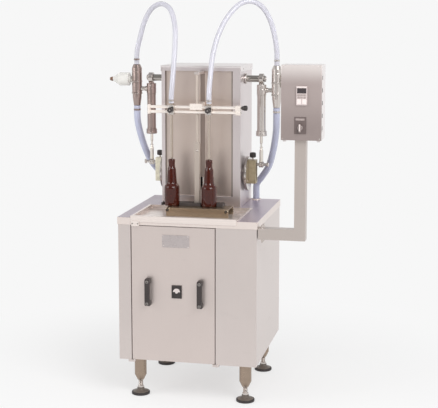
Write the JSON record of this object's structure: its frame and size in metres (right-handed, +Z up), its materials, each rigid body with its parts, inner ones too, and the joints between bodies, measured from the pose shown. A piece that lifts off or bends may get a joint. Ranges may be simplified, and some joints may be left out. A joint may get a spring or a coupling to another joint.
{
  "type": "liquid filling machine",
  "caption": "Floor-standing piston filling machine: steel cabinet, upright housing with hanging measuring cylinders, arched hoses, nozzles on a lift over bottles and a control box on an arm.",
  "frame": {"origin": "on the floor, under the middle of the machine's box", "axes": "+X to the operator's right, +Y from the operator's side to the back, +Z up"},
  "size_m": [1.1038, 0.6822, 1.8526],
  "materials": {
    "stainless_sheet": "brushed stainless sheet, warm grey",
    "stainless_turned": "turned and polished stainless",
    "bright_bar": "bright polished bar",
    "bronze": "machined bronze, dull",
    "black_plastic": "black moulded plastic",
    "black_rubber": "black rubber",
    "amber_glass": "amber bottle glass",
    "clear_plastic": "clear moulded plastic",
    "milky_hose": "translucent whitish hose",
    "bluish_hose": "translucent bluish hose",
    "painted_iron": "painted cast housing",
    "label_metal": "bare satin plate",
    "control_plastic": "dark moulded control housing"
  },
  "bodies": {
    "base": {"cabinet_shell": "stainless_sheet", "base_frame": "stainless_sheet", "table_top": "stainless_sheet", "drip_tray": "stainless_sheet", "bottle_stand": "stainless_sheet", "bottle_left": "amber_glass", "bottle_right": "amber_glass", "housing_shell": "stainless_sheet", "housing_lid": "stainless_sheet", "rear_cover": "stainless_sheet", "guide_post": "bright_bar", "support_shaft": "bright_bar", "crank_bearing_left": "stainless_turned", "crank_bearing_right": "stainless_turned", "supply_hose_left": "bluish_hose", "supply_hose_right": "bluish_hose", "discharge_hose_left": "milky_hose", "discharge_hose_right": "milky_hose", "control_arm": "stainless_sheet", "gear_motor": "painted_iron", "drive_chain": "stainless_turned", "lift_cylinder": "stainless_turned", "control_box_case": "stainless_sheet"},
    "front_panel": {"front_panel": "stainless_sheet", "panel_handle_left": "black_plastic", "panel_handle_right": "black_plastic", "label_plate": "label_metal", "latch_plate": "black_plastic"},
    "latch": {"latch_paddle": "bright_bar"},
    "locator": {"bottle_locator": "black_plastic"},
    "carriage": {"carriage_arm": "stainless_turned", "nozzle_bar": "bright_bar"},
    "rail_knob": {"rail_knob": "black_plastic"},
    "nozzle_left": {"nozzle_clamp_left": "stainless_turned", "nozzle_left": "bright_bar"},
    "nozzle_right": {"nozzle_clamp_right": "stainless_turned", "nozzle_right": "bright_bar"},
    "nozzle_knob_left": {"nozzle_knob_left": "black_plastic"},
    "nozzle_knob_right": {"nozzle_knob_right": "black_plastic"},
    "foot_front_left": {"levelling_foot_front_left": "black_rubber"},
    "foot_front_right": {"levelling_foot_front_right": "black_rubber"},
    "foot_rear_left": {"levelling_foot_rear_left": "black_rubber"},
    "foot_rear_right": {"levelling_foot_rear_right": "black_rubber"},
    "unit_left": {"cylinder_left": "stainless_turned", "check_valve_left": "stainless_turned", "surge_chamber_left": "clear_plastic"},
    "unit_right": {"cylinder_right": "stainless_turned", "check_valve_right": "stainless_turned", "surge_chamber_right": "clear_plastic"},
    "rod_left": {"piston_rod_left": "bright_bar"},
    "rod_right": {"piston_rod_right": "bright_bar"},
    "crank": {"crankshaft": "stainless_turned", "stroke_block_left": "bronze", "stroke_block_right": "bronze"},
    "screw_left": {"stroke_screw_left": "black_plastic"},
    "screw_right": {"stroke_screw_right": "black_plastic"},
    "drive": {"drive_sprocket": "stainless_turned"},
    "box_door": {"control_box_door": "stainless_sheet", "display_unit": "control_plastic"},
    "selector": {"selector_knob": "control_plastic"}
  },
  "joints": [
    {"name": "front_panel_tilt", "type": "hinge", "parent": "base", "child": "front_panel", "pos_m": [-0.1196, -0.29555, 0.199], "axis": [1, 0, 0], "range_deg": [0, 35]},
    {"name": "latch_turn", "type": "hinge", "parent": "front_panel", "child": "latch", "pos_m": [-0.1016, -0.29885, 0.529], "axis": [0, 1, 0], "range_deg": [0, 90]},
    {"name": "locator_slide", "type": "slide", "parent": "base", "child": "locator", "axis": [0, 1, 0], "range_m": [0, 0.01]},
    {"name": "foot_front_left_turn", "type": "hinge", "parent": "base", "child": "foot_front_left", "pos_m": [-0.3071, -0.18885, 0], "axis": [0, 0, 1], "continuous": true},
    {"name": "foot_front_right_turn", "type": "hinge", "parent": "base", "child": "foot_front_right", "pos_m": [0.1969, -0.18885, 0], "axis": [0, 0, 1], "continuous": true},
    {"name": "foot_rear_left_turn", "type": "hinge", "parent": "base", "child": "foot_rear_left", "pos_m": [-0.3071, 0.28615, 0], "axis": [0, 0, 1], "continuous": true},
    {"name": "foot_rear_right_turn", "type": "hinge", "parent": "base", "child": "foot_rear_right", "pos_m": [0.1969, 0.28615, 0], "axis": [0, 0, 1], "continuous": true},
    {"name": "nozzle_lift", "type": "slide", "parent": "base", "child": "carriage", "axis": [0, 0, 1], "range_m": [-0.135, 0], "deforming": ["discharge_hose_left", "discharge_hose_right"]},
    {"name": "rail_knob_turn", "type": "hinge", "parent": "carriage", "child": "rail_knob", "pos_m": [0.1469, -0.06285, 1.352], "axis": [1, 0, 0], "continuous": true},
    {"name": "nozzle_left_slide", "type": "slide", "parent": "carriage", "child": "nozzle_left", "axis": [-1, 0, 0], "range_m": [0, 0.02]},
    {"name": "nozzle_right_slide", "type": "slide", "parent": "carriage", "child": "nozzle_right", "axis": [1, 0, 0], "range_m": [0, 0.02]},
    {"name": "nozzle_knob_left_turn", "type": "hinge", "parent": "nozzle_left", "child": "nozzle_knob_left", "pos_m": [-0.1786, -0.09885, 1.3405], "axis": [0, 1, 0], "continuous": true},
    {"name": "nozzle_knob_right_turn", "type": "hinge", "parent": "nozzle_right", "child": "nozzle_knob_right", "pos_m": [0.0004, -0.09885, 1.3405], "axis": [0, 1, 0], "continuous": true},
    {"name": "unit_left_swing", "type": "hinge", "parent": "base", "child": "unit_left", "pos_m": [-0.3421, 0.16315, 1.4745], "axis": [1, 0, 0], "range_deg": [-6, 6], "deforming": ["discharge_hose_left", "supply_hose_left"]},
    {"name": "rod_left_slide", "type": "slide", "parent": "unit_left", "child": "rod_left", "axis": [0, 0, 1], "range_m": [-0.09, 0]},
    {"name": "unit_right_swing", "type": "hinge", "parent": "base", "child": "unit_right", "pos_m": [0.2039, 0.16315, 1.4745], "axis": [1, 0, 0], "range_deg": [-6, 6], "deforming": ["discharge_hose_right", "supply_hose_right"]},
    {"name": "rod_right_slide", "type": "slide", "parent": "unit_right", "child": "rod_right", "axis": [0, 0, 1], "range_m": [-0.09, 0]},
    {"name": "crank_turn", "type": "hinge", "parent": "base", "child": "crank", "pos_m": [-0.0691, 0.16315, 1.017], "axis": [1, 0, 0], "range_deg": [0, 180]},
    {"name": "stroke_screw_left_turn", "type": "hinge", "parent": "crank", "child": "screw_left", "pos_m": [-0.30075, 0.16315, 1.084], "axis": [0, 0, 1], "continuous": true},
    {"name": "stroke_screw_right_turn", "type": "hinge", "parent": "crank", "child": "screw_right", "pos_m": [0.16255, 0.16315, 1.084], "axis": [0, 0, 1], "continuous": true},
    {"name": "drive_turn", "type": "hinge", "parent": "base", "child": "drive", "pos_m": [-0.0041, 0.16315, 0.625], "axis": [1, 0, 0], "range_deg": [0, 360]},
    {"name": "box_door_swing", "type": "hinge", "parent": "base", "child": "box_door", "pos_m": [0.3749, -0.30685, 1.4], "axis": [0, 0, -1], "range_deg": [0, 110]},
    {"name": "selector_turn", "type": "hinge", "parent": "box_door", "child": "selector", "pos_m": [0.4599, -0.32085, 1.293], "axis": [0, 1, 0], "range_deg": [0, 90]}
  ],
  "couplings": [
    {"joint": "rod_left_slide", "follows": "crank_turn", "m_per_rad": -0.028647},
    {"joint": "rod_right_slide", "follows": "crank_turn", "m_per_rad": -0.028647},
    {"joint": "drive_turn", "follows": "crank_turn", "ratio": 2}
  ]
}
